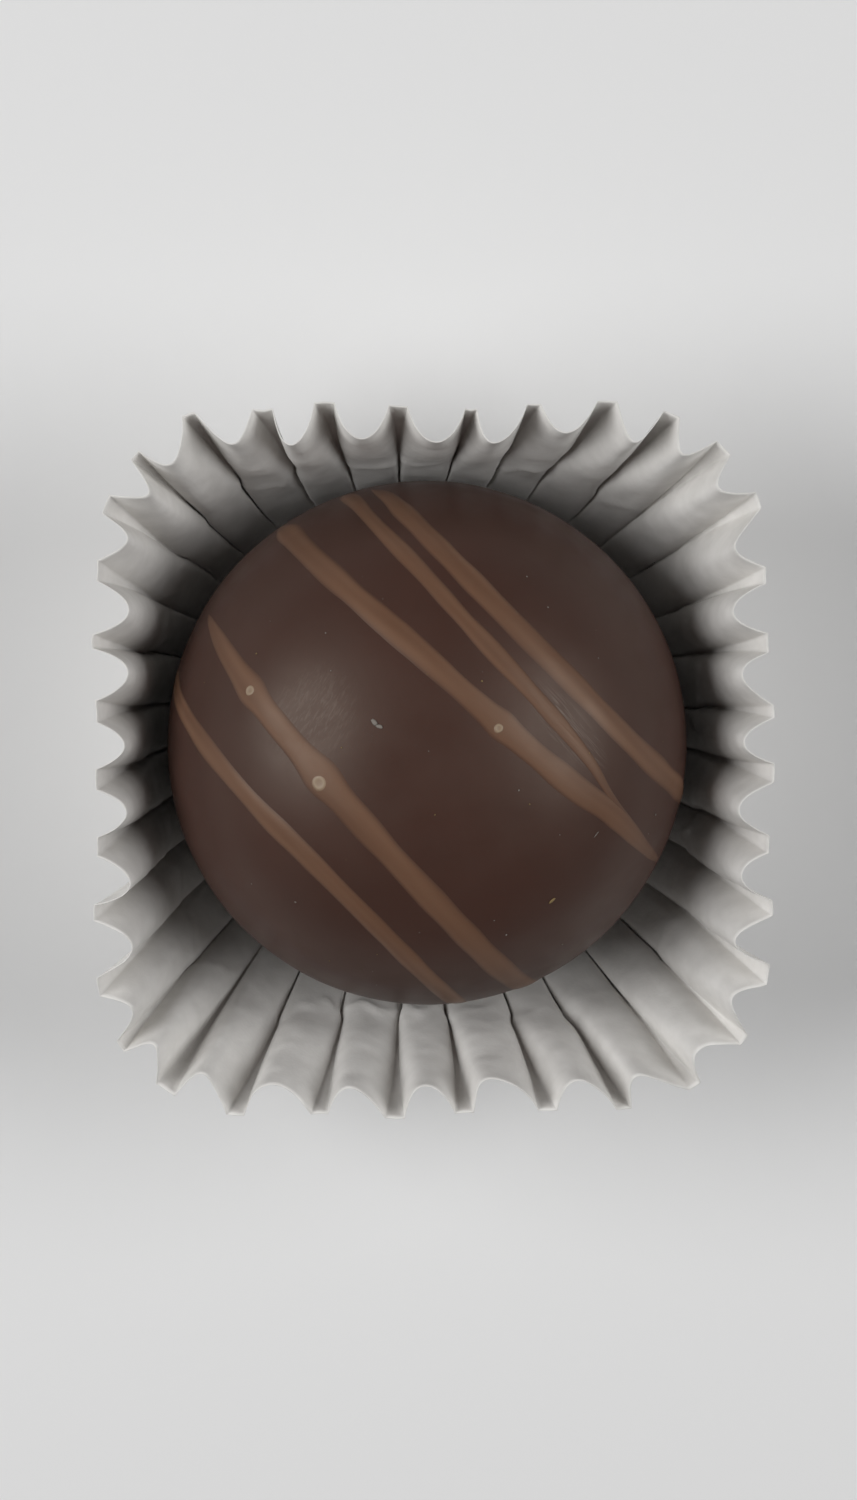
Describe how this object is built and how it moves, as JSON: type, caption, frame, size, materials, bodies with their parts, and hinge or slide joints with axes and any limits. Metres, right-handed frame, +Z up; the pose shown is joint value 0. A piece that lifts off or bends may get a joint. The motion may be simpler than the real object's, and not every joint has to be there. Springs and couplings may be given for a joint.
{
  "type": "chocolate truffle in a paper case",
  "caption": "Domed dark chocolate truffle with thin milk chocolate stripes, standing in a white pleated paper case whose rim has taken a square shape with rounded corners.",
  "frame": {"origin": "on the surface that the paper case stands on, under the middle of the case's rim", "axes": "+Z up; +X across the rim's shorter side and +Y along its longer one, as seen from above with +Y up the view"},
  "size_m": [0.0404, 0.0426, 0.0251],
  "materials": {
    "dark_chocolate": "satin",
    "milk_chocolate": "satin",
    "case_paper": "matte"
  },
  "bodies": {
    "root": {"truffle": "dark_chocolate", "paper_case": "case_paper"}
  },
  "joints": []
}
